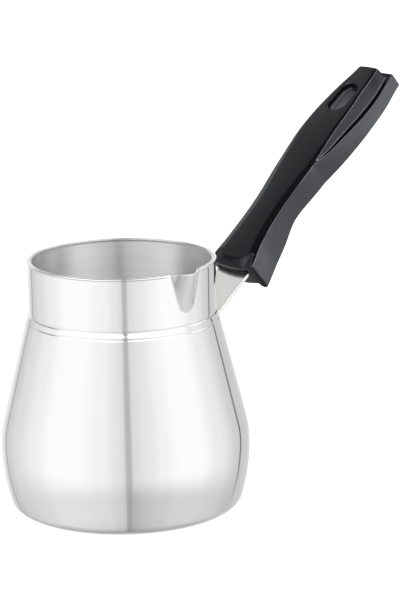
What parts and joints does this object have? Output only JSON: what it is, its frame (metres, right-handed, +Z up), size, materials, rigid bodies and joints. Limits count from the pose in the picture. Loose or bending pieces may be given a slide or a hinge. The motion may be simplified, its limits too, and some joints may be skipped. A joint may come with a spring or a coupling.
{
  "type": "turkish coffee pot",
  "caption": "Bell-shaped polished steel coffee pot (cezve) with a pressed pouring spout and a raked black grip on a bent steel strap.",
  "frame": {"origin": "centre of the flat underside, on the axis of the pot", "axes": "+Z up along the axis of the pot, the handle points along +X, the spout points along -Y"},
  "size_m": [0.2179, 0.107, 0.172],
  "materials": {
    "polished_steel": "mirror polished outside, turned inside",
    "strap_steel": "satin",
    "phenolic": "gloss moulded",
    "brass": "machined",
    "fastener_steel": "zinc plated"
  },
  "bodies": {
    "root": {"pot_body": "polished_steel", "handle_bracket": "strap_steel", "handle_grip": "phenolic", "threaded_insert": "brass", "handle_screw": "fastener_steel", "lock_washer": "fastener_steel"}
  },
  "joints": []
}
